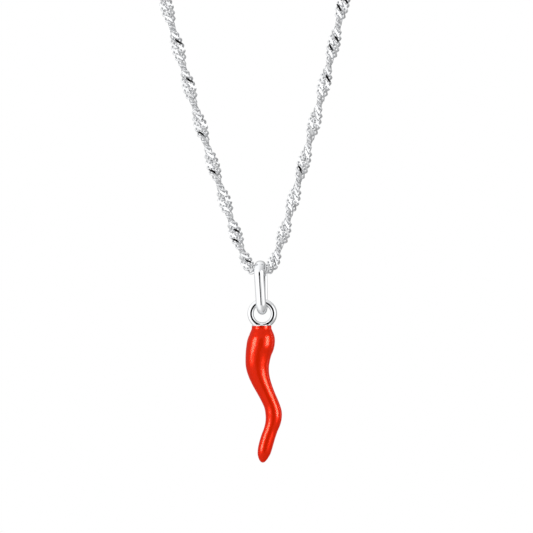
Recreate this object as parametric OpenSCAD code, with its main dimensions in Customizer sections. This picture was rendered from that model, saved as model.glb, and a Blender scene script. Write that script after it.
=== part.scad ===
// Horn charm of red enamel on silver, hung by a cast loop from a twisted chain.
// Millimetres, +Z up, the horn's face towards -Y. The origin is under the clasp,
// where the necklace hangs. The chain is built as the round bundle its links fill.

/* [Chain] */
// Diameter of the round bundle that the twisted links fill
chain_d = 1.5; // [1.2:0.1:1.6]
// Gap between the chain and the bail over it, and at the eyes of the clasp
chain_play = 0.17; // [0.14:0.01:0.25]

/* [Clasp] */
// Diameter of the barrel
clasp_d = 2.6; // [2:0.1:3.4]
// Wire of the eyes that take the end links
eye_wire = 0.5; // [0.4:0.05:0.6]
// Inside diameter of the eyes
eye_hole = 1.1; // [0.9:0.05:1.3]

/* [Bail] */
// Height over all
bail_h = 7.15; // [6:0.05:9]
// Inside depth at the top, where the chain lies
bail_mouth = 2.4; // [2.2:0.05:2.8]
// Inside depth at the foot, where the ring hangs
bail_heel = 1.3; // [1.2:0.05:1.6]
// Width of the legs and the foot, seen from the front
bail_w = 1.35; // [1:0.05:1.6]
// Width at the top
bail_top_w = 1.25; // [0.8:0.05:1.4]
// Thickness at the top
bail_top_t = 0.56; // [0.4:0.02:0.7]
// Thickness of the legs
bail_leg_t = 0.65; // [0.5:0.05:0.9]
// Thickness at the foot
bail_foot_t = 1.2; // [0.8:0.05:1.4]
// Turn of the bail on the chain, back leg to the right
bail_yaw = 8; // [0:1:10]
// Lean of the bail, foot to the right
bail_lean = 1.2; // [0:0.1:4]

/* [Ring] */
// Wire of the ring on the horn
ring_wire = 0.82; // [0.6:0.02:0.9]
// Inside diameter of the ring
ring_hole = 2.26; // [2:0.02:3]
// Gap between the ring and the bail's foot that it hangs on
ring_play = 0.08; // [0.06:0.01:0.15]
// Depth that the ring is sunk into the horn's flat top
ring_seat = 0.34; // [0.2:0.02:0.36]
// Thickness of the silver cap between the ring and the enamel
cap_t = 0.12; // [0.08:0.02:0.3]

/* [Horn] */
// Length from the flat top to the tip
horn_l = 18; // [14:0.5:24]
// Largest diameter
horn_d = 3.65; // [3:0.05:4.5]
// Swing of the horn's wave to either side
horn_sway = 1; // [0.6:0.05:1.2]
// Thickness of the enamel
enamel_t = 0.25; // [0.2:0.05:0.35]
// Gap between the enamel and the silver under it
enamel_gap = 0.03; // [0.02:0.01:0.06]

/* [Hidden] */
$fn = 64;
chain_sides = 8;
bail_sides = 16;
enamel_sides = 28;
core_sides = 16;
ring_spacing = 9.5;
silver = "#d4d6d9";
enamel_red = "#d81f16";

// One side of the chain's route from its lowest point up to the clasp: sideways, up.
// The front hangs as a weighted curve and a plain arch closes the loop behind the neck.
chain_route = [
    [0, 0], [0.6, 0.1], [1.15, 0.4], [1.55, 0.85], [1.85, 1.45], [2.15, 2.2], [2.5, 3.1], [3, 4.5],
    [3.75, 6.9], [5, 11], [6.8, 17], [9.3, 26], [12.3, 38], [16, 54], [19.7, 72], [23.1, 90],
    [26.1, 108], [28.9, 126], [31.5, 144], [33.4, 158], [34.1, 167], [33, 175.5], [29.6, 183.5],
    [24.2, 190.5], [17.2, 195.8], [11, 198.7], [6, 200]
];

// Sections of the horn: share of its length, sideways share of its sway, share of its diameter.
horn_sections = [
    [0, -0.13, 0.71], [0.02, -0.135, 0.715], [0.05, -0.14, 0.835], [0.08, -0.15, 0.94],
    [0.11, -0.21, 0.99], [0.145, -0.35, 1], [0.19, -0.57, 0.945], [0.24, -0.72, 0.89],
    [0.29, -0.78, 0.845], [0.345, -0.65, 0.77], [0.4, -0.37, 0.69], [0.46, 0.06, 0.615],
    [0.52, 0.53, 0.57], [0.58, 0.98, 0.565], [0.64, 1.22, 0.595], [0.7, 1.14, 0.56],
    [0.76, 0.79, 0.5], [0.82, 0.39, 0.51], [0.88, 0.06, 0.51], [0.92, -0.13, 0.48],
    [0.945, -0.24, 0.425], [0.97, -0.31, 0.32], [0.987, -0.34, 0.21], [0.996, -0.35, 0.12]
];

// Heights that follow from what hangs on what.
chain_drop = chain_route[len(chain_route) - 1][1];
hang_z = clasp_d / 2 - chain_drop;
mouth_r = bail_mouth / 2;
heel_r = bail_heel / 2;
bail_top = chain_d / 2 + chain_play + bail_top_t;
mouth_z = chain_d / 2 + chain_play - mouth_r;
foot_in = bail_top - bail_h + bail_foot_t;
heel_z = foot_in + heel_r;
leg_slant = asin((mouth_r - heel_r) / (mouth_z - heel_z));
ring_r = (ring_hole + ring_wire) / 2;
ring_drop = foot_in + ring_play - ring_hole / 2;
ring_x = -ring_drop * sin(bail_lean);
ring_z = hang_z + ring_drop * cos(bail_lean);
horn_z = ring_z - ring_r - ring_wire / 2 + ring_seat;
neck_d = horn_d * horn_sections[0][2];

// Slope and value at a share t of the way from knot i to the next of a smooth line.
function slope(p, u, i) =
    let (a = max(i - 1, 0), b = min(i + 1, len(p) - 1)) (p[b] - p[a]) / (u[b] - u[a]);
function between(p, u, i, t) =
    let (h = u[i + 1] - u[i])
    (2 * t ^ 3 - 3 * t ^ 2 + 1) * p[i] + (t ^ 3 - 2 * t ^ 2 + t) * h * slope(p, u, i)
    + (3 * t ^ 2 - 2 * t ^ 3) * p[i + 1] + (t ^ 3 - t ^ 2) * h * slope(p, u, i + 1);
function reach(p, i = 0, sum = 0) =
    i == len(p) ? [] : let (far = i == 0 ? 0 : sum + norm(p[i] - p[i - 1])) concat([far], reach(p, i + 1, far));

// A circle of radius r about the point c, square to the direction d in the X-Z plane.
function hoop(c, d, r, sides) =
    [for (k = [0 : sides - 1]) let (a = 360 * k / sides)
        [c.x - r * cos(a) * d.y, r * sin(a), c.y + r * cos(a) * d.x]];

// Faces between rings of points, ring after ring, and flat ends where the tube is open.
function side_faces(first, rings, sides) =
    [for (i = [0 : rings - 2], k = [0 : sides - 1])
        let (a = first + i * sides + k, b = first + i * sides + (k + 1) % sides)
        each [[a, b, b + sides], [a, b + sides, a + sides]]];
function fan(first, sides, pole) = [for (k = [0 : sides - 1]) [first + k, first + (k + 1) % sides, pole]];
function flipped(faces) = [for (f = faces) [f[2], f[1], f[0]]];
function flat(rings) = [for (ring = rings) each ring];

module tube(rings) {
    sides = len(rings[0]);
    last = (len(rings) - 1) * sides;
    polyhedron(flat(rings), concat(
        side_faces(0, len(rings), sides),
        [[for (k = [sides - 1 : -1 : 0]) k], [for (k = [0 : sides - 1]) last + k]]));
}

// The whole route, from one eye of the clasp down to the bail and up to the other.
full_route = concat(
    [for (i = [len(chain_route) - 1 : -1 : 1]) [-chain_route[i].x, chain_route[i].y]], chain_route);
route_reach = reach(full_route);
function steps(i) = ceil((route_reach[i + 1] - route_reach[i]) / ring_spacing);
chain_line = concat(
    [for (i = [0 : len(full_route) - 2], k = [0 : steps(i) - 1])
        between(full_route, route_reach, i, k / steps(i))],
    [full_route[len(full_route) - 1]]);
function heading(line, i) =
    let (d = line[min(i + 1, len(line) - 1)] - line[max(i - 1, 0)]) d / norm(d);

module chain() {
    color(silver) translate([0, 0, hang_z])
        tube([for (i = [0 : len(chain_line) - 1])
            hoop(chain_line[i], heading(chain_line, i), chain_d / 2, chain_sides)]);
}

// Each eye stands clear of the end of the route, and the barrel reaches the middle of its wire.
module clasp() {
    route_end = chain_route[len(chain_route) - 1].x;
    eye_r = (eye_hole + eye_wire) / 2;
    eye_x = route_end - chain_play - eye_r - eye_wire / 2;
    barrel_end = eye_x - eye_r;
    barrel_edge = barrel_end - clasp_d / 4;
    color(silver) translate([0, 0, clasp_d / 2]) {
        rotate([0, 90, 0]) rotate_extrude() polygon([
            [0, -barrel_end], [clasp_d / 4, -barrel_end], [clasp_d / 2, -barrel_edge],
            [clasp_d / 2, barrel_edge], [clasp_d / 4, barrel_end], [0, barrel_end]]);
        for (side = [-1, 1])
            translate([side * eye_x, 0, 0]) rotate([90, 0, 0])
                rotate_extrude() translate([eye_r, 0]) circle(d = eye_wire, $fn = 32);
    }
}

// The bail's sections stand square to its inside line, from the top round the front leg.
function ease(t) = (1 - cos(180 * t)) / 2;
top_turns = 8;
foot_turns = 7;
leg_angle = 90 + leg_slant;
bail_half = concat(
    [for (i = [0 : top_turns]) let (t = i / top_turns) [
        mouth_z, mouth_r, leg_angle * t,
        bail_top_t + (bail_leg_t - bail_top_t) * ease(t),
        bail_top_w + (bail_w - bail_top_w) * ease(t)]],
    [for (i = [0 : foot_turns]) let (t = i / foot_turns) [
        heel_z, heel_r, leg_angle + (180 - leg_angle) * t,
        bail_leg_t + (bail_foot_t - bail_leg_t) * ease(t), bail_w]]);
bail_back = [for (i = [len(bail_half) - 2 : -1 : 1])
    let (s = bail_half[i]) [s[0], s[1], -s[2], s[3], s[4]]];
// Share of the thickness that rounds the inside face
inner_crown = 0.37;

function bail_section(s) =
    [for (k = [0 : bail_sides - 1])
        let (a = 360 * k / bail_sides,
            crown = sin(a) > 0 ? 1 - inner_crown : inner_crown,
            out = s[1] + s[3] * (inner_crown + crown * sin(a)))
        [s[4] / 2 * cos(a), -out * sin(s[2]), s[0] + out * cos(s[2])]];

module bail() {
    rings = [for (s = concat(bail_half, bail_back)) bail_section(s)];
    closed = concat(rings, [rings[0]]);
    color(silver) translate([0, 0, hang_z]) rotate([0, -bail_lean, 0]) rotate([0, 0, -bail_yaw])
        polyhedron(flat(closed), flipped(side_faces(0, len(closed), bail_sides)));
}

// The horn's middle line and thickness, in steps between the rows of its table.
horn_shares = [for (row = horn_sections) row[0]];
function horn_rows(per_row) = concat(
    [for (i = [0 : len(horn_sections) - 2], k = [0 : per_row - 1])
        between(horn_sections, horn_shares, i, k / per_row)],
    [horn_sections[len(horn_sections) - 1]]);
function horn_point(row) = [horn_sway * row[1], -horn_l * row[0]];
function horn_rings(rows, insets, sides) =
    let (line = [for (row = rows) horn_point(row)])
    [for (i = [0 : len(rows) - 1])
        hoop(line[i], i == 0 ? [0, -1] : heading(line, i), horn_d * rows[i][2] / 2 - insets[i], sides)];

// The enamel thins out towards its rim, and the silver under it ends short of the tip.
rim_share = 0.25;
rim_reach = 0.08;
core_rows = [for (row = horn_rows(1)) if (horn_d * row[2] / 2 > 1.6 * enamel_t) row];
skin = [for (row = core_rows) enamel_t * min(1, rim_share + row[0] / rim_reach)];
cap_top_d = 0.9 * neck_d;
core_insets = [for (t = skin) t + enamel_gap];
core_body = horn_rings(core_rows, core_insets, core_sides);
core_rings = concat([[for (p = core_body[0]) p + [0, 0, enamel_gap + cap_t / 2]]], core_body);
cap_z = horn_z + enamel_gap;

// The ring is cut off level with the cap's under side, clear of the enamel's rim.
module horn_core() {
    color(silver) translate([ring_x, 0, 0]) {
        difference() {
            translate([0, 0, ring_z]) rotate([90, 0, 0])
                rotate_extrude() translate([ring_r, 0]) circle(d = ring_wire, $fn = 48);
            translate([0, 0, cap_z - 2 * ring_wire]) cylinder(h = 2 * ring_wire, r = 2 * ring_r);
        }
        translate([horn_sway * horn_sections[0][1], 0, cap_z])
            cylinder(h = cap_t, d1 = neck_d, d2 = cap_top_d);
        translate([0, 0, horn_z]) tube(core_rings);
    }
}

// The enamel is one closed skin: down the outside, over the tip, and up the inside.
module enamel() {
    outer_rows = horn_rows(2);
    outside = horn_rings(outer_rows, [for (row = outer_rows) 0], enamel_sides);
    inside = horn_rings(core_rows, skin, enamel_sides);
    outer = len(outside) * enamel_sides;
    inner = len(inside) * enamel_sides;
    tip_row = horn_sections[len(horn_sections) - 1];
    tip = [horn_sway * tip_row[1], 0, -horn_l];
    last_row = core_rows[len(core_rows) - 1];
    inner_tip = [horn_point(last_row).x, 0, horn_point(last_row).y - horn_d * last_row[2] / 2 + enamel_t];
    points = concat(flat(outside), flat(inside), [tip, inner_tip]);
    rim = [for (k = [0 : enamel_sides - 1]) let (n = (k + 1) % enamel_sides)
        each [[k, outer + k, outer + n], [k, outer + n, n]]];
    color(enamel_red) translate([ring_x, 0, horn_z])
        polyhedron(points, concat(
            side_faces(0, len(outside), enamel_sides),
            fan(outer - enamel_sides, enamel_sides, outer + inner),
            flipped(side_faces(outer, len(inside), enamel_sides)),
            flipped(fan(outer + inner - enamel_sides, enamel_sides, outer + inner + 1)),
            rim));
}

chain();
clasp();
bail();
horn_core();
enamel();
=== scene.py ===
"""Horn charm of red enamel on a twisted silver chain, dressed round the CAD frame."""
import math

import bpy
import numpy as np
from mathutils import Matrix, Vector


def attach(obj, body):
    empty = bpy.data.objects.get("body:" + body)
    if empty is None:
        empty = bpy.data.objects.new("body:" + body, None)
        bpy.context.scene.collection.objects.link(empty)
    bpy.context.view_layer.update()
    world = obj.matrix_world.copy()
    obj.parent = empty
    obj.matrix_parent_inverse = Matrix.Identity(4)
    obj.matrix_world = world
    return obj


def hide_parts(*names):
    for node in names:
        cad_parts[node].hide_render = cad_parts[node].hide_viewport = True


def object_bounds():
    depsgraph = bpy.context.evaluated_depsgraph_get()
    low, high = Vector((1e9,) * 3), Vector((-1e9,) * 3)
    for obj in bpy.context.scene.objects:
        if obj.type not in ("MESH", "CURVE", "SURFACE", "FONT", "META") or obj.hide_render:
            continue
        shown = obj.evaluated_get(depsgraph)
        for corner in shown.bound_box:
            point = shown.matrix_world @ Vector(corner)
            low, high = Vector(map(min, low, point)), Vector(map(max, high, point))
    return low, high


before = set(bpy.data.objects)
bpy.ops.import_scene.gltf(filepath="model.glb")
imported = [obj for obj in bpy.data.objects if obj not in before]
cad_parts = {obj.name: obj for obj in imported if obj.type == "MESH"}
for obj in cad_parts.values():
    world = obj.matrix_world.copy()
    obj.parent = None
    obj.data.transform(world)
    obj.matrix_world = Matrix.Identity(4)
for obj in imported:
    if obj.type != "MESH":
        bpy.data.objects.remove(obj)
cad_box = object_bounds()

# All sizes below are in millimetres and degrees, and become metres where a mesh is made.
MM = 0.001
HANG_Z = -198.7          # the chain's middle at its lowest point, where the bail hangs
TURN = 2 * math.pi


# Camera
PICTURE_WIDTH = 70.13    # width that the picture shows at the charm
PICTURE_MIDDLE = (0.80, 0.0, -198.03)   # what the picture's middle shows, beside the bail
CAMERA_AWAY = 900.0      # far enough off that the charm is seen almost without perspective
CAMERA_ROLL = math.radians(1.2)
SENSOR_WIDTH = 36.0
CLIP_FROM, CLIP_TO = 0.01, 50.0   # metres


def make_camera():
    """Stands straight in front of the charm, rolled a little so the necklace leans left."""
    data = bpy.data.cameras.new("camera")
    data.sensor_width = SENSOR_WIDTH
    data.lens = data.sensor_width * CAMERA_AWAY / PICTURE_WIDTH
    data.clip_start, data.clip_end = CLIP_FROM, CLIP_TO
    camera = bpy.data.objects.new("camera", data)
    bpy.context.scene.collection.objects.link(camera)
    c, s = math.cos(CAMERA_ROLL), math.sin(CAMERA_ROLL)
    turn = Matrix(((c, s, 0), (0, 0, -1), (-s, c, 0))).to_4x4()
    place = Vector(PICTURE_MIDDLE) + Vector((0, -CAMERA_AWAY, 0))
    camera.matrix_world = Matrix.Translation(place * MM) @ turn
    bpy.context.scene.camera = camera


make_camera()


# Mesh helpers
def mesh_object(name, points, quads, sharp=None, facets=None):
    """Makes a mesh from points in millimetres and faces.

    Edges that turn by more than sharp degrees stay crisp, and cut facets take the second material.
    """
    mesh = bpy.data.meshes.new(name)
    in_metres = np.asarray(points, float) * MM
    mesh.from_pydata(in_metres.tolist(), [], [list(map(int, q)) for q in quads])
    if facets is None:
        facets = np.zeros(len(quads), bool)
    mesh.polygons.foreach_set("use_smooth", ~facets)
    mesh.polygons.foreach_set("material_index", facets.astype(np.int32))
    mesh.validate()
    if sharp is not None:
        mesh.set_sharp_from_angle(angle=math.radians(sharp))
    made = bpy.data.objects.new(name, mesh)
    bpy.context.scene.collection.objects.link(made)
    return made


def band_quads(rings, sides, closed=False):
    """Faces between rings of points that follow one another."""
    ring, side = np.meshgrid(np.arange(rings if closed else rings - 1), np.arange(sides), indexing="ij")
    ahead, beside = (ring + 1) % rings, (side + 1) % sides
    return np.stack([ring * sides + side, ring * sides + beside,
                     ahead * sides + beside, ahead * sides + side], -1).reshape(-1, 4)


def lathe(profile, sides):
    """Points of a round solid about the Z axis, one ring for each (radius, height) pair."""
    a = np.arange(sides) * TURN / sides
    profile = np.asarray(profile, float)
    return np.stack([profile[:, :1] * np.cos(a), profile[:, :1] * np.sin(a),
                     np.repeat(profile[:, 1:], sides, 1)], -1).reshape(-1, 3)


def closed_lathe(profile, sides):
    """A round solid about the Z axis with a flat face at each end."""
    count = len(profile)
    quads = [list(q) for q in band_quads(count, sides)]
    quads.append(list(range(sides))[::-1])
    quads.append([(count - 1) * sides + k for k in range(sides)])
    return lathe(profile, sides), quads


def torus(ring_r, wire_r, around, sides, square=2.0, inward=0.0):
    """A ring of wire standing in the X-Z plane; square is 2 for round wire and more for fuller.

    Inward is how far its crest stands nearer the middle than half way.
    """
    a = np.arange(around) * TURN / around
    b = np.arange(sides) * TURN / sides
    over, beside = (wire_r * np.sign(f) * np.abs(f) ** (2 / square) for f in (np.cos(b), np.sin(b)))
    out = ring_r + over - inward * (beside / wire_r) ** 2
    points = np.stack([out[None] * np.cos(a)[:, None], np.repeat(beside[None], around, 0),
                       out[None] * np.sin(a)[:, None]], -1).reshape(-1, 3)
    return points, band_quads(around, sides, closed=True)


def together(parts):
    """Joins several (points, faces) pairs into one."""
    points, quads, first = [], [], 0
    for p, q in parts:
        points.append(np.asarray(p, float))
        quads += [[int(v) + first for v in face] for face in q]
        first += len(p)
    return np.concatenate(points), quads


def smooth_line(knots, reach, at):
    """The same smooth line through the knots as the source draws, read at the reaches asked for."""
    knots, reach = np.asarray(knots, float), np.asarray(reach, float)
    low = np.maximum(np.arange(len(reach)) - 1, 0)
    high = np.minimum(np.arange(len(reach)) + 1, len(reach) - 1)
    slope = (knots[high] - knots[low]) / (reach[high] - reach[low])[:, None]
    i = np.clip(np.searchsorted(reach, at, side="right") - 1, 0, len(reach) - 2)
    span = (reach[i + 1] - reach[i])[:, None]
    t = (at - reach[i])[:, None] / span
    return ((2 * t**3 - 3 * t**2 + 1) * knots[i] + (t**3 - 2 * t**2 + t) * span * slope[i]
            + (3 * t**2 - 2 * t**3) * knots[i + 1] + (t**3 - t**2) * span * slope[i + 1])


def length_along(line):
    """Length of a line of points from its start to each of them."""
    return np.concatenate([[0], np.cumsum(np.linalg.norm(np.diff(line, axis=0), axis=1))])


# Chain: one side of its route from its lowest point up to the clasp, as sideways and up.
CHAIN_ROUTE = [
    [0, 0], [0.6, 0.1], [1.15, 0.4], [1.55, 0.85], [1.85, 1.45], [2.15, 2.2], [2.5, 3.1], [3, 4.5],
    [3.75, 6.9], [5, 11], [6.8, 17], [9.3, 26], [12.3, 38], [16, 54], [19.7, 72], [23.1, 90],
    [26.1, 108], [28.9, 126], [31.5, 144], [33.4, 158], [34.1, 167], [33, 175.5], [29.6, 183.5],
    [24.2, 190.5], [17.2, 195.8], [11, 198.7], [6, 200],
]
ROUTE_POINTS = 9001
LINK_PITCH = 0.87
WIRE_R = 0.16
# Middle line of a link, whose half length is 1: its half width and how high it winds over and under,
# then how far its ends and its sides are drawn out to points and its crests are flattened.
LINK_W, LINK_RISE = 0.65, 0.35
LINK_TIP, LINK_SIDE, LINK_CREST = 0.12, 0.14, 0.1
CUT = 0.19               # depth that the diamond cutter takes off the wire
CUT_LEAN = 25            # how far a facet leans outwards from the ribbon's face
CUT_SPREAD = 4           # how much facets differ, because the chain lies loose under the cutter
CUT_EDGE = 34            # edges of the wire that turn by more than this are edges of a facet
LINK_END = 218.3         # reach of the last link, whose end is in the clasp's eye
NEXT_TO_END = 0.93       # from the last link to the next, which is a little looser than the rest
# How much narrower the ribbon is pressed where the bail bears on it, and over what reach.
SNUG, SNUG_REACH = 0.18, 2.4
# Reach from the lowest point at which the ribbon of links is seen edge-on.
EDGE_ON = [0, 4.1, 8.5, 13.2, 18.6, 24.0, 29.3, 34.7]
LAST_HALF_TURN = 41      # half turns that the ribbon has made at its end
FINE_REACH = 70.0        # links within this reach show in the picture and are made finer
FINE_LINK, NECK_LINK = (48, 16), (28, 10)   # points along a link's wire and round it

route_knots = np.array([[-x, z] for x, z in CHAIN_ROUTE[:0:-1]] + CHAIN_ROUTE, float)
route_reach = length_along(route_knots)
route_line = smooth_line(route_knots, route_reach, np.linspace(0, route_reach[-1], ROUTE_POINTS))
route_at = length_along(route_line)
route_at -= route_at[-1] / 2


def along_route(reach):
    """Point of the route at a reach from the lowest point, and its direction there.

    Past its two ends the route runs straight on, into the eyes of the clasp.
    """
    step = 0.05
    on_it = np.clip(reach, route_at[0], route_at[-1])
    ahead = [np.interp(on_it + step, route_at, route_line[:, k]) for k in (0, 1)]
    behind = [np.interp(on_it - step, route_at, route_line[:, k]) for k in (0, 1)]
    dx, dz = ahead[0] - behind[0], ahead[1] - behind[1]
    size = np.hypot(dx, dz)
    dx, dz = dx / size, dz / size
    x, z = [np.interp(on_it, route_at, route_line[:, k]) for k in (0, 1)]
    return x + (reach - on_it) * dx, z + (reach - on_it) * dz, dx, dz


def half_turns(reach):
    """How many half turns the left-handed twist has made at a reach."""
    count = np.interp(np.abs(reach), EDGE_ON + [LINK_END], list(range(len(EDGE_ON))) + [LAST_HALF_TURN])
    return -np.sign(reach) * count


def twisted(points):
    """Bends and twists points given as reach, place across the ribbon and height above it.

    The ribbon is narrower beside the bail, which swings without touching it.
    """
    reach, high = points[..., 0], points[..., 2]
    wide = points[..., 1] * (1 - SNUG * np.exp(-(reach / SNUG_REACH) ** 2))
    x, z, dx, dz = along_route(reach)
    angle = math.pi * half_turns(reach)
    across = wide * np.cos(angle) - high * np.sin(angle)
    up = wide * np.sin(angle) + high * np.cos(angle)
    return np.stack([x - up * dz, across, z + up * dx + HANG_Z], -1)


def link_middle(t):
    """Middle line of one link on a straight ribbon, a pinched oval that winds over and under."""
    along = np.cos(t) + LINK_TIP * np.cos(3 * t)
    across = LINK_W * (np.sin(t) - LINK_SIDE * np.sin(3 * t))
    rise = -LINK_RISE * (np.sin(2 * t) + LINK_CREST * np.sin(6 * t))
    return np.stack([along, across, rise], -1)


def link_wire(t, sides):
    """Surface of the round wire along the link's middle line."""
    middle = link_middle(t)
    ahead = np.roll(middle, -1, 0) - np.roll(middle, 1, 0)
    ahead /= np.linalg.norm(ahead, axis=1)[:, None]
    outward = np.cross(ahead, [0, 0, 1])
    outward /= np.linalg.norm(outward, axis=1)[:, None]
    over = np.cross(outward, ahead)
    a = np.arange(sides) * TURN / sides
    return middle[:, None] + WIRE_R * (np.cos(a)[None, :, None] * outward[:, None]
                                       + np.sin(a)[None, :, None] * over[:, None])


def chain_piece(name, reaches, steps, sides):
    """A stretch of the chain in one mesh, with four flat facets cut on every link.

    Each facet is a plane over a quarter of the link, at the place where the wire stands highest.
    """
    t = np.arange(steps) * TURN / steps
    along = np.stack([reaches, 0 * reaches, 0 * reaches], -1)
    points = twisted(link_wire(t, sides)[None] + along[:, None, None])
    cut_away = np.zeros(points.shape[:3], bool)
    for quarter in range(4):
        top = link_middle(np.array([(quarter + 0.5) * TURN / 4]))[0]
        here = twisted(along + top)
        over = twisted(along + top + [0, 0, np.sign(top[2])]) - here
        out = twisted(along + top + [0, np.sign(top[1]), 0]) - here
        lean = np.radians(cutter.normal(CUT_LEAN, CUT_SPREAD, len(reaches)))[:, None]
        tip = np.radians(cutter.normal(0, CUT_SPREAD, len(reaches)))[:, None]
        normal = (np.cos(lean) * over + np.sin(lean) * out) * np.cos(tip)
        normal += np.cross(over, out) * np.sin(tip)
        near = t // (TURN / 4) == quarter
        height = ((points[:, near] - here[:, None, None]) * normal[:, None, None]).sum(-1)
        proud = height - (WIRE_R - CUT)
        points[:, near] -= np.maximum(proud, 0)[..., None] * normal[:, None, None]
        cut_away[:, near] = proud > 0
    quads = band_quads(steps, sides, closed=True)
    facets = cut_away.reshape(len(reaches), -1)[:, quads].all(-1)
    first = np.arange(len(reaches))[:, None, None] * steps * sides
    return mesh_object(name, points.reshape(-1, 3), (quads[None] + first).reshape(-1, 4),
                       sharp=CUT_EDGE, facets=facets.reshape(-1))


cutter = np.random.default_rng(11)
link_count = round(2 * (LINK_END - NEXT_TO_END) / LINK_PITCH) + 1
inner_reaches = np.linspace(NEXT_TO_END - LINK_END, LINK_END - NEXT_TO_END, link_count)
link_reaches = np.concatenate([[-LINK_END], inner_reaches, [LINK_END]])
in_front = np.abs(link_reaches) <= FINE_REACH
on_left = link_reaches < 0
chain_left = chain_piece("chain_links_left", link_reaches[in_front & on_left], *FINE_LINK)
chain_right = chain_piece("chain_links_right", link_reaches[in_front & ~on_left], *FINE_LINK)
chain_back = chain_piece("chain_links_neck", link_reaches[~in_front], *NECK_LINK)


# Clasp
CLASP_D = 2.6
EYE_WIRE = 0.5
EYE_HOLE = 1.1
EYE_X = 4.78
# Rounded end of the barrel, from the flat under the eye to its full radius: radius, place.
CLASP_TIP = [[0.5, 3.98], [0.62, 3.94], [0.72, 3.84], [1.18, 3.38], [1.27, 3.27], [1.3, 3.12]]
CLASP_GROOVES = (0.95, 0.45)   # outer edges of the two grooves on each half
# Sections of a groove, from its outer edge, and of the seam, from the middle: depth, place.
GROOVE = [[0, 0], [0.06, 0.05], [0.06, 0.11], [0, 0.16]]
SEAM = [[0, -0.04], [0.12, -0.03], [0.12, 0.03], [0, 0.04]]
CLASP_SIDES = 72
EYE_AROUND, EYE_SIDES = 64, 20
CLASP_EDGE = 40          # degrees from which its edges are crisp


def make_clasp():
    """Screw barrel with a seam round its middle, two grooves on each half and an eye at each end."""
    r = CLASP_D / 2
    half = CLASP_TIP + [[r - depth, edge - place] for edge in CLASP_GROOVES for depth, place in GROOVE]
    seam = [[r - depth, place] for depth, place in SEAM]
    profile = [[radius, -place] for radius, place in half] + seam + half[::-1]
    points, quads = closed_lathe(profile, CLASP_SIDES)
    points = points[:, [2, 0, 1]]
    parts = [(points, quads)]
    for side in (-1, 1):
        ring, faces = torus((EYE_HOLE + EYE_WIRE) / 2, EYE_WIRE / 2, EYE_AROUND, EYE_SIDES)
        parts.append((ring + [side * EYE_X, 0, 0], faces))
    points, quads = together(parts)
    return mesh_object("clasp_barrel", points + [0, 0, CLASP_D / 2], quads, sharp=CLASP_EDGE)


clasp = make_clasp()


# Bail
CHAIN_D, CHAIN_PLAY = 1.5, 0.17
BAIL_H = 7.15
BAIL_W, BAIL_TOP_W = 1.35, 1.25
BAIL_TOP_T, BAIL_LEG_T, BAIL_FOOT_T = 0.56, 0.65, 1.2
BAIL_YAW, BAIL_LEAN = math.radians(8), math.radians(1.2)   # it hangs a little turned and aslant
MOUTH_R, HEEL_R = 1.2, 0.65   # inside radii round the chain and round the ring
MOUTH_Z = CHAIN_D / 2 + CHAIN_PLAY - MOUTH_R
FOOT_IN = MOUTH_Z + MOUTH_R + BAIL_TOP_T - BAIL_H + BAIL_FOOT_T
HEEL_Z = FOOT_IN + HEEL_R
INNER_CROWN = 0.37       # share of the thickness that rounds the inside face
RIDGE = 0.33             # how far the outside of the legs is drawn up to a ridge; 0 is a half oval
MOUTH_STEPS, LEG_STEPS, HEEL_STEPS = 40, 6, 32
BAIL_SIDES = 48


def ease(t):
    """Share of the way that starts and ends gently."""
    return (1 - np.cos(math.pi * t)) / 2


def make_bail():
    """Smooth loop, thin over the chain and thick at the foot, with a ridge down each leg."""
    slant = math.asin((MOUTH_R - HEEL_R) / (MOUTH_Z - HEEL_Z))
    leg = math.pi / 2 + slant
    rows = []
    # Each row: middle and radius of the inside, angle from the top, thickness, width, ridge.
    for t in np.linspace(0, 1, MOUTH_STEPS + 1):
        rows.append([MOUTH_Z, MOUTH_R, leg * t, BAIL_TOP_T + (BAIL_LEG_T - BAIL_TOP_T) * ease(t),
                     BAIL_TOP_W + (BAIL_W - BAIL_TOP_W) * ease(t), RIDGE * ease(t)])
    for t in np.linspace(0, 1, LEG_STEPS + 1)[1:-1]:
        rows.append([MOUTH_Z + (HEEL_Z - MOUTH_Z) * t, MOUTH_R + (HEEL_R - MOUTH_R) * t, leg,
                     BAIL_LEG_T, BAIL_W, RIDGE])
    for t in np.linspace(0, 1, HEEL_STEPS + 1):
        rows.append([HEEL_Z, HEEL_R, leg + (math.pi - leg) * t,
                     BAIL_LEG_T + (BAIL_FOOT_T - BAIL_LEG_T) * ease(t), BAIL_W, RIDGE * (1 - ease(t))])
    rows += [[r[0], r[1], -r[2], r[3], r[4], r[5]] for r in rows[-2:0:-1]]
    a = np.arange(BAIL_SIDES) * TURN / BAIL_SIDES
    points = []
    for z, inside, turn, thick, wide, ridge in rows:
        outer = np.sin(a) > 0
        crown = (1 - INNER_CROWN) * np.abs(np.sin(a)) ** (1 + ridge)
        rise = np.where(outer, crown, INNER_CROWN * np.sin(a))
        side = np.cos(a) * np.where(outer, np.abs(np.cos(a)) ** ridge, 1)
        out = inside + thick * (INNER_CROWN + rise)
        section = [wide / 2 * side, -out * math.sin(turn), z + out * math.cos(turn)]
        points.append(np.stack(section, -1))
    points = np.concatenate(points)
    yaw = np.array(Matrix.Rotation(-BAIL_YAW, 3, "Z"))
    lean = np.array(Matrix.Rotation(-BAIL_LEAN, 3, "Y"))
    points = points @ yaw.T @ lean.T + [0, 0, HANG_Z]
    return mesh_object("bail_loop", points, band_quads(len(rows), BAIL_SIDES, closed=True)[:, ::-1])


bail = make_bail()


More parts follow.
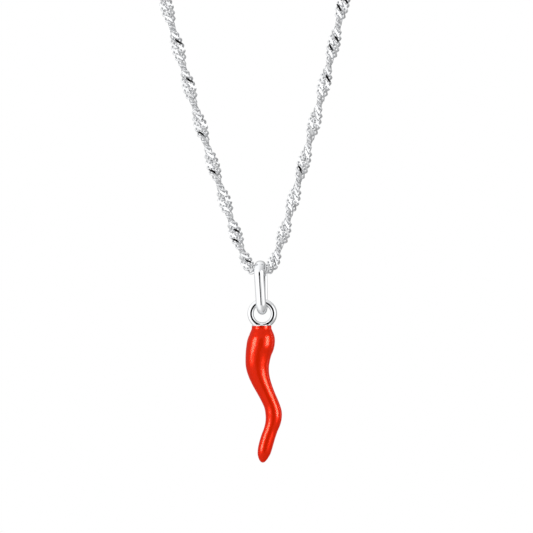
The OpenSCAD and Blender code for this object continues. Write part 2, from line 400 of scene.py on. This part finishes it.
# Horn
# The ring's wire and hole, its play under the bail's foot and how deep it sits in the horn's top.
RING_WIRE, RING_HOLE, RING_PLAY, RING_SEAT = 0.82, 2.26, 0.08, 0.34
RING_FULL, RING_INWARD = 2.3, 0.07   # its wire is a little fuller than round, its crest further in
RING_R = (RING_HOLE + RING_WIRE) / 2
RING_DROP = FOOT_IN + RING_PLAY - RING_HOLE / 2
RING_X = -RING_DROP * math.sin(BAIL_LEAN)
RING_Z = HANG_Z + RING_DROP * math.cos(BAIL_LEAN)
HORN_Z = RING_Z - RING_R - RING_WIRE / 2 + RING_SEAT
HORN_L, HORN_D, HORN_SWAY = 18.0, 3.65, 1.0
CAP_T = 0.12
CAP_FOOT, CAP_ROUND = 0.03, 0.05   # how far the cap's lower and upper edges are rounded off
# Flare of solder from the cap up to the ring: radius, height over the cap.
SOLDER = [[0.6, 0.01], [0.46, 0.04], [0.44, 0.08], [0.36, 0.2]]
ENAMEL_T, ENAMEL_GAP = 0.25, 0.03
# The enamel starts at its rim with this share of its thickness and fills out over this share of
# the horn's length.
RIM_SHARE, RIM_LENGTH = 0.25, 0.08
CORE_LEAST = 1.6 * ENAMEL_T   # radius of the horn under which there is no core in the tip
HORN_SIDES, CORE_SIDES = 64, 40
RING_AROUND, RING_SIDES = 144, 48
ENAMEL_EDGE, CORE_EDGE = 60, 50   # degrees from which their edges are crisp
# Sections of the horn: share of its length, sideways share of its sway, share of its diameter.
HORN_SECTIONS = [
    [0, -0.13, 0.71], [0.02, -0.135, 0.715], [0.05, -0.14, 0.835], [0.08, -0.15, 0.94],
    [0.11, -0.21, 0.99], [0.145, -0.35, 1], [0.19, -0.57, 0.945], [0.24, -0.72, 0.89],
    [0.29, -0.78, 0.845], [0.345, -0.65, 0.77], [0.4, -0.37, 0.69], [0.46, 0.06, 0.615],
    [0.52, 0.53, 0.57], [0.58, 0.98, 0.565], [0.64, 1.22, 0.595], [0.7, 1.14, 0.56],
    [0.76, 0.79, 0.5], [0.82, 0.39, 0.51], [0.88, 0.06, 0.51], [0.92, -0.13, 0.48],
    [0.945, -0.24, 0.425], [0.97, -0.31, 0.32], [0.987, -0.34, 0.21], [0.996, -0.35, 0.12],
]


def horn_rows(per_row):
    """Rows of the horn's table with the given number of steps between them."""
    table = np.array(HORN_SECTIONS)
    shares = table[:, 0]
    at = np.concatenate([np.linspace(shares[i], shares[i + 1], per_row, endpoint=False)
                         for i in range(len(shares) - 1)] + [[shares[-1]]])
    return smooth_line(table, shares, at)


def horn_rings(rows, insets, sides):
    """Rings of points round the horn's middle line, each square to it."""
    line = np.stack([HORN_SWAY * rows[:, 1], -HORN_L * rows[:, 0]], -1)
    padded = np.concatenate([line[:1], line, line[-1:]])
    ahead = padded[2:] - padded[:-2]
    ahead /= np.linalg.norm(ahead, axis=1)[:, None]
    ahead[0] = [0, -1]
    r = (HORN_D * rows[:, 2] / 2 - insets)[:, None]
    a = np.arange(sides)[None] * TURN / sides
    return np.stack([line[:, :1] - r * np.cos(a) * ahead[:, 1:], r * np.sin(a),
                     line[:, 1:] + r * np.cos(a) * ahead[:, :1]], -1).reshape(-1, 3)


def skin(rows):
    """Thickness of the enamel, which thins out towards its rim."""
    return ENAMEL_T * np.minimum(1, RIM_SHARE + rows[:, 0] / RIM_LENGTH)


def make_enamel():
    """Closed skin of enamel: down the outside, over the tip and up the inside."""
    sides = HORN_SIDES
    outer = horn_rows(8)
    inner = horn_rows(2)
    inner = inner[HORN_D * inner[:, 2] / 2 > CORE_LEAST]
    outside = horn_rings(outer, 0 * outer[:, 0], sides)
    inside = horn_rings(inner, skin(inner), sides)
    tip = [HORN_SWAY * HORN_SECTIONS[-1][1], 0, -HORN_L]
    last = inner[-1]
    inner_tip = [HORN_SWAY * last[1], 0, -HORN_L * last[0] - HORN_D * last[2] / 2 + ENAMEL_T]
    points = np.concatenate([outside, inside, [tip], [inner_tip]])
    n_out, n_in = len(outside), len(inside)
    ring = np.arange(sides)
    nxt = (ring + 1) % sides
    quads = [list(q) for q in band_quads(len(outer), sides)]
    quads += [[n_out - sides + k, n_out - sides + n, n_out + n_in] for k, n in zip(ring, nxt)]
    quads += [list(q[::-1]) for q in band_quads(len(inner), sides) + n_out]
    last_ring, end = n_out + n_in - sides, n_out + n_in + 1
    quads += [[last_ring + n, last_ring + k, end] for k, n in zip(ring, nxt)]
    quads += [[k, n_out + k, n_out + n, n] for k, n in zip(ring, nxt)]
    return mesh_object("horn_enamel", points + [RING_X, 0, HORN_Z], quads, sharp=ENAMEL_EDGE)


def make_core():
    """Ring, collar and the core under the enamel, soldered into one piece of silver."""
    ring, ring_faces = torus(RING_R, RING_WIRE / 2, RING_AROUND, RING_SIDES, RING_FULL, RING_INWARD)
    cap_z = HORN_Z + ENAMEL_GAP
    ring = ring + [0, 0, RING_Z]
    ring[:, 2] = np.maximum(ring[:, 2], cap_z)
    neck = HORN_D * HORN_SECTIONS[0][2] / 2
    cap = [[neck - CAP_FOOT, 0], [neck, CAP_FOOT], [neck, CAP_T - CAP_ROUND], [neck - CAP_ROUND, CAP_T]]
    flare = [[radius, CAP_T + over] for radius, over in SOLDER]
    collar, collar_faces = closed_lathe(cap + flare, HORN_SIDES)
    collar = collar + [HORN_SWAY * HORN_SECTIONS[0][1], 0, cap_z]
    rows = horn_rows(2)
    rows = rows[HORN_D * rows[:, 2] / 2 > CORE_LEAST]
    sides = CORE_SIDES
    body = horn_rings(rows, skin(rows) + ENAMEL_GAP, sides)
    top = body[:sides] + [0, 0, ENAMEL_GAP + CAP_T / 2]
    body = np.concatenate([top, body]) + [0, 0, HORN_Z]
    body_faces = [list(q) for q in band_quads(len(rows) + 1, sides)]
    body_faces += [list(range(sides))[::-1], [len(rows) * sides + k for k in range(sides)]]
    points, quads = together([(ring, ring_faces), (collar, collar_faces), (body, body_faces)])
    return mesh_object("horn_ring_and_core", points + [RING_X, 0, 0], quads, sharp=CORE_EDGE)


core = make_core()
enamel = make_enamel()


# Materials
def hex_linear(code):
    """Linear colour from an sRGB hex value."""
    parts = [int(code[k:k + 2], 16) / 255 for k in (1, 3, 5)]
    return tuple(c / 12.92 if c <= 0.04045 else ((c + 0.055) / 1.055) ** 2.4 for c in parts) + (1.0,)


def add(tree, kind, inputs=(), **settings):
    """Adds a node: settings are its own, inputs are values or the sockets linked to them."""
    made = tree.nodes.new(kind)
    for name, value in settings.items():
        setattr(made, name, value)
    for name, value in dict(inputs).items():
        if isinstance(value, bpy.types.NodeSocket):
            tree.links.new(value, made.inputs[name])
        else:
            made.inputs[name].default_value = value
    return made


def new_material(name):
    """An empty material, its tree and a place to write the surface."""
    made = bpy.data.materials.new(name)
    made.use_nodes = True
    made.node_tree.nodes.clear()
    return made, made.node_tree


def per_size(size):
    """Scale of a noise texture whose lumps are about this many millimetres across."""
    return 1 / (size * MM)


def rhodium_silver(name, colour, dull, rough, rougher, lump, depth, scratch):
    """Silver under a rhodium plate: cool and bright, with polishing marks that only show close up.

    Lump, depth and scratch are the size and height of its waves and the size of its marks, in mm.
    """
    made, tree = new_material(name)
    where = add(tree, "ShaderNodeTexCoord").outputs["Object"]
    cloud = add(tree, "ShaderNodeTexNoise", {"Vector": where, "Scale": per_size(1.4), "Detail": 3.0})
    fine = add(tree, "ShaderNodeTexNoise", {"Vector": where, "Scale": per_size(lump), "Detail": 2.0})
    marks = add(tree, "ShaderNodeMapping", {"Vector": where, "Scale": (1, 6, 1)})
    lines = add(tree, "ShaderNodeTexNoise", {"Vector": marks.outputs[0], "Scale": per_size(scratch),
                                             "Detail": 2.0})
    tint = add(tree, "ShaderNodeMix", {0: cloud.outputs[0], 6: hex_linear(colour), 7: hex_linear(dull)},
               data_type="RGBA")
    gloss = add(tree, "ShaderNodeMapRange", {"Value": lines.outputs[0], "From Min": 0.35, "From Max": 0.7,
                                             "To Min": rough, "To Max": rougher})
    relief = add(tree, "ShaderNodeBump", {
        "Height": fine.outputs[0], "Strength": 1.0, "Distance": depth * MM})
    shader = add(tree, "ShaderNodeBsdfPrincipled", {
        "Base Color": tint.outputs[2], "Metallic": 1.0, "Roughness": gloss.outputs[0],
        "Normal": relief.outputs[0]})
    add(tree, "ShaderNodeOutputMaterial", {"Surface": shader.outputs[0]})
    return made


def vitreous_enamel():
    """Red glass fired on silver: an even colour, with a gloss that ripples very slightly.

    The glass was laid on wet as powder and melted, so its skin is smooth but not flat. A little of
    the silver's gleam comes back through it in the red of the glass.
    """
    made, tree = new_material("red_fired_enamel")
    where = add(tree, "ShaderNodeTexCoord").outputs["Object"]
    cloud = add(tree, "ShaderNodeTexNoise", {"Vector": where, "Scale": per_size(2.2), "Detail": 2.0})
    ripple = add(tree, "ShaderNodeTexNoise", {"Vector": where, "Scale": per_size(1.1), "Detail": 1.0})
    tint = add(tree, "ShaderNodeMix", {
        0: cloud.outputs[0], 6: hex_linear("#da2300"), 7: hex_linear("#d32000")}, data_type="RGBA")
    relief = add(tree, "ShaderNodeBump", {
        "Height": ripple.outputs[0], "Strength": 1.0, "Distance": 0.012 * MM})
    shader = add(tree, "ShaderNodeBsdfPrincipled", {
        "Base Color": tint.outputs[2], "Metallic": 0.2, "Roughness": 0.25, "IOR": 1.45,
        "Specular IOR Level": 0.0, "Normal": relief.outputs[0], "Coat Weight": 0.16,
        "Coat Roughness": 0.17, "Coat IOR": 1.45, "Coat Normal": relief.outputs[0]})
    add(tree, "ShaderNodeOutputMaterial", {"Surface": shader.outputs[0]})
    return made


def white_card():
    """Matt white card under the necklace, pale enough to vanish into the light."""
    made, tree = new_material("matt_white_card")
    where = add(tree, "ShaderNodeTexCoord").outputs["Object"]
    fibre = add(tree, "ShaderNodeTexNoise", {"Vector": where, "Scale": per_size(0.6), "Detail": 2.0})
    relief = add(tree, "ShaderNodeBump", {
        "Height": fibre.outputs[0], "Strength": 0.2, "Distance": 0.01 * MM})
    shader = add(tree, "ShaderNodeBsdfPrincipled", {
        "Base Color": hex_linear("#f8f8f8"), "Roughness": 0.9, "Normal": relief.outputs[0]})
    add(tree, "ShaderNodeOutputMaterial", {"Surface": shader.outputs[0]})
    return made


# Wire pulled through a die and tumbled: a satin silver that spreads the light softly.
drawn_silver = rhodium_silver("drawn_silver_wire", "#f0f1f2", "#e6e7e9", rough=0.28, rougher=0.4,
                              lump=0.25, depth=0.001, scratch=0.4)
# Facets that a diamond cutter took off the wire: true mirrors, each white or black as a whole.
facet_silver = rhodium_silver("diamond_cut_silver", "#f0f1f2", "#e6e7e8", rough=0.03, rougher=0.05,
                              lump=0.5, depth=0.0005, scratch=0.4)
# Cast, then polished on a wheel: nearly a mirror, with broad waves that bend its dark lines a little.
cast_silver = rhodium_silver("polished_cast_silver", "#eeeff0", "#e2e3e5", rough=0.03, rougher=0.07,
                             lump=0.9, depth=0.002, scratch=0.5)
red_enamel = vitreous_enamel()

PIECES = [
    (chain_left, "root", "chain", "chain_silver", [drawn_silver, facet_silver]),
    (chain_right, "root", "chain", "chain_silver", [drawn_silver, facet_silver]),
    (chain_back, "root", "chain", "chain_silver", [drawn_silver, facet_silver]),
    (clasp, "root", "clasp", "cast_silver", [cast_silver]),
    (bail, "bail", "bail", "cast_silver", [cast_silver]),
    (core, "horn", "horn_core", "cast_silver", [cast_silver]),
    (enamel, "horn", "enamel", "red_enamel", [red_enamel]),
]
for piece, body, node, slot, materials in PIECES:
    for material in materials:
        piece.data.materials.append(material)
    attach(piece, body)
    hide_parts(node)


# Studio
FLOOR_DROP = 1000.0      # floor below the horn's tip
FLOOR_HALF = 12000.0
CHARM = Vector((0, 0, -208)) * MM
FLAG_AWAY, FLAG_REACH = 800.0, 22   # distance from the charm and degrees from its middle to its rim
FLAG_SIDES = 64
# Brightness of the tent in the silver: its left, its right, and how much of that its unlit back
# corners keep round the white backdrop. The lens sees 1.
TENT_LEFT, TENT_RIGHT, TENT_CORNERS = 1.2, 0.6, 0.55
# Where the tent gets darker: to the right and low, and in its back corners, low down.
DARKER_RIGHT, DARKER_BACK = (0.95, 0.0, -0.3), (0.0, 1.0, -0.6)
# Lit windows of the tent: azimuth of each and how far it reaches.
WINDOWS = [(-56, 33), (44, 27)]
WINDOW_UP, WINDOW_EDGE = 5, 7   # elevation, and how far a window's edge fades in and out
WINDOW_LEVEL = 1.4
# Lights for the enamel: azimuth, elevation, width and height in metres, watts.
SOFTBOXES = {"softbox_left": (-57, 12, 0.34, 0.36, 12), "softbox_right": (55, 7, 0.32, 0.42, 14),
             "softbox_rim": (113, 5, 0.1, 0.5, 0.5)}
SOFTBOX_AWAY = 0.7


def make_floor():
    """White card far below the charm."""
    half, z = FLOOR_HALF, cad_box[0].z / MM - FLOOR_DROP
    corners = [[-half, -half, z], [half, -half, z], [half, half, z], [-half, half, z]]
    floor = mesh_object("floor", corners, [[0, 1, 2, 3]])
    floor.data.materials.append(white_card())
    floor.visible_glossy = False


def toward(azimuth, elevation):
    """Direction from the charm; the azimuth is from the camera's side to the right."""
    a, e = math.radians(azimuth), math.radians(elevation)
    return Vector((math.sin(a) * math.cos(e), -math.cos(a) * math.cos(e), math.sin(e)))


def softbox(name, glossed, azimuth, elevation, wide, high, power):
    """A soft light whose long reflections draw the gloss of the enamel, and of that alone."""
    data = bpy.data.lights.new(name, "AREA")
    data.shape, data.size, data.size_y, data.energy = "RECTANGLE", wide, high, power
    light = bpy.data.objects.new(name, data)
    bpy.context.scene.collection.objects.link(light)
    out = toward(azimuth, elevation)
    facing = out.to_track_quat("Z", "Y").to_matrix().to_4x4()
    light.matrix_world = Matrix.Translation(CHARM + out * SOFTBOX_AWAY) @ facing
    light.visible_diffuse = False
    light.light_linking.receiver_collection = glossed


def make_flag():
    """Black card round the lens, which polished silver mirrors as thin dark lines."""
    a = np.arange(FLAG_SIDES) * TURN / FLAG_SIDES
    r = FLAG_AWAY * math.tan(math.radians(FLAG_REACH))
    rim = np.stack([r * np.cos(a), 0 * a - FLAG_AWAY, r * np.sin(a)], -1) + list(CHARM / MM)
    flag = mesh_object("lens_flag", rim, [list(range(FLAG_SIDES))])
    made, tree = new_material("black_velvet")
    shader = add(tree, "ShaderNodeBsdfDiffuse", {"Color": hex_linear("#1c1c1c")})
    add(tree, "ShaderNodeOutputMaterial", {"Surface": shader.outputs[0]})
    flag.data.materials.append(made)
    flag.visible_camera = flag.visible_diffuse = False


def make_world():
    """White tent all round, plain white to the lens and on dull surfaces.

    Polished pieces mirror more of it: a darker right side, two windows, and dark back corners round
    the white backdrop.
    """
    world = bpy.data.worlds.new("studio")
    bpy.context.scene.world = world
    world.use_nodes = True
    tree = world.node_tree
    tree.nodes.clear()
    ray = add(tree, "ShaderNodeLightPath")
    where = add(tree, "ShaderNodeTexCoord").outputs["Generated"]

    def share_of(direction):
        return add(tree, "ShaderNodeVectorMath", {0: where, 1: direction},
                   operation="DOT_PRODUCT").outputs["Value"]

    across = add(tree, "ShaderNodeMapRange", {
        "Value": share_of(DARKER_RIGHT), "From Min": -0.4, "From Max": 0.7,
        "To Min": TENT_LEFT, "To Max": TENT_RIGHT})
    corners = add(tree, "ShaderNodeMapRange", {
        "Value": share_of(DARKER_BACK), "From Min": 0.05, "From Max": 0.6,
        "To Min": 1.0, "To Max": TENT_CORNERS})
    backdrop = add(tree, "ShaderNodeMapRange", {
        "Value": share_of((0.0, 1.0, 0.0)), "From Min": 0.94, "From Max": 0.985})
    walls = add(tree, "ShaderNodeMath", {0: across.outputs[0], 1: corners.outputs[0]},
                operation="MULTIPLY")
    tent = add(tree, "ShaderNodeMath", {0: walls.outputs[0], 1: backdrop.outputs[0]},
               operation="MAXIMUM")
    for azimuth, reach in WINDOWS:
        window = add(tree, "ShaderNodeMapRange", {
            "Value": share_of(toward(azimuth, WINDOW_UP)),
            "From Min": math.cos(math.radians(reach + WINDOW_EDGE)),
            "From Max": math.cos(math.radians(reach - WINDOW_EDGE)), "To Max": WINDOW_LEVEL})
        tent = add(tree, "ShaderNodeMath", {0: tent.outputs[0], 1: window.outputs[0]},
                   operation="MAXIMUM")
    level = add(tree, "ShaderNodeMapRange", {"Value": ray.outputs["Is Glossy Ray"], "To Min": 1.0,
                                             "To Max": tent.outputs[0]})
    back = add(tree, "ShaderNodeBackground", {"Color": (1, 1, 1, 1), "Strength": level.outputs[0]})
    add(tree, "ShaderNodeOutputWorld", {"Surface": back.outputs[0]})


make_floor()
make_flag()
make_world()
glossed_pieces = bpy.data.collections.new("glossed_pieces")
glossed_pieces.objects.link(enamel)
for box_name, box in SOFTBOXES.items():
    softbox(box_name, glossed_pieces, *box)
bpy.context.scene.view_settings.view_transform = "Standard"
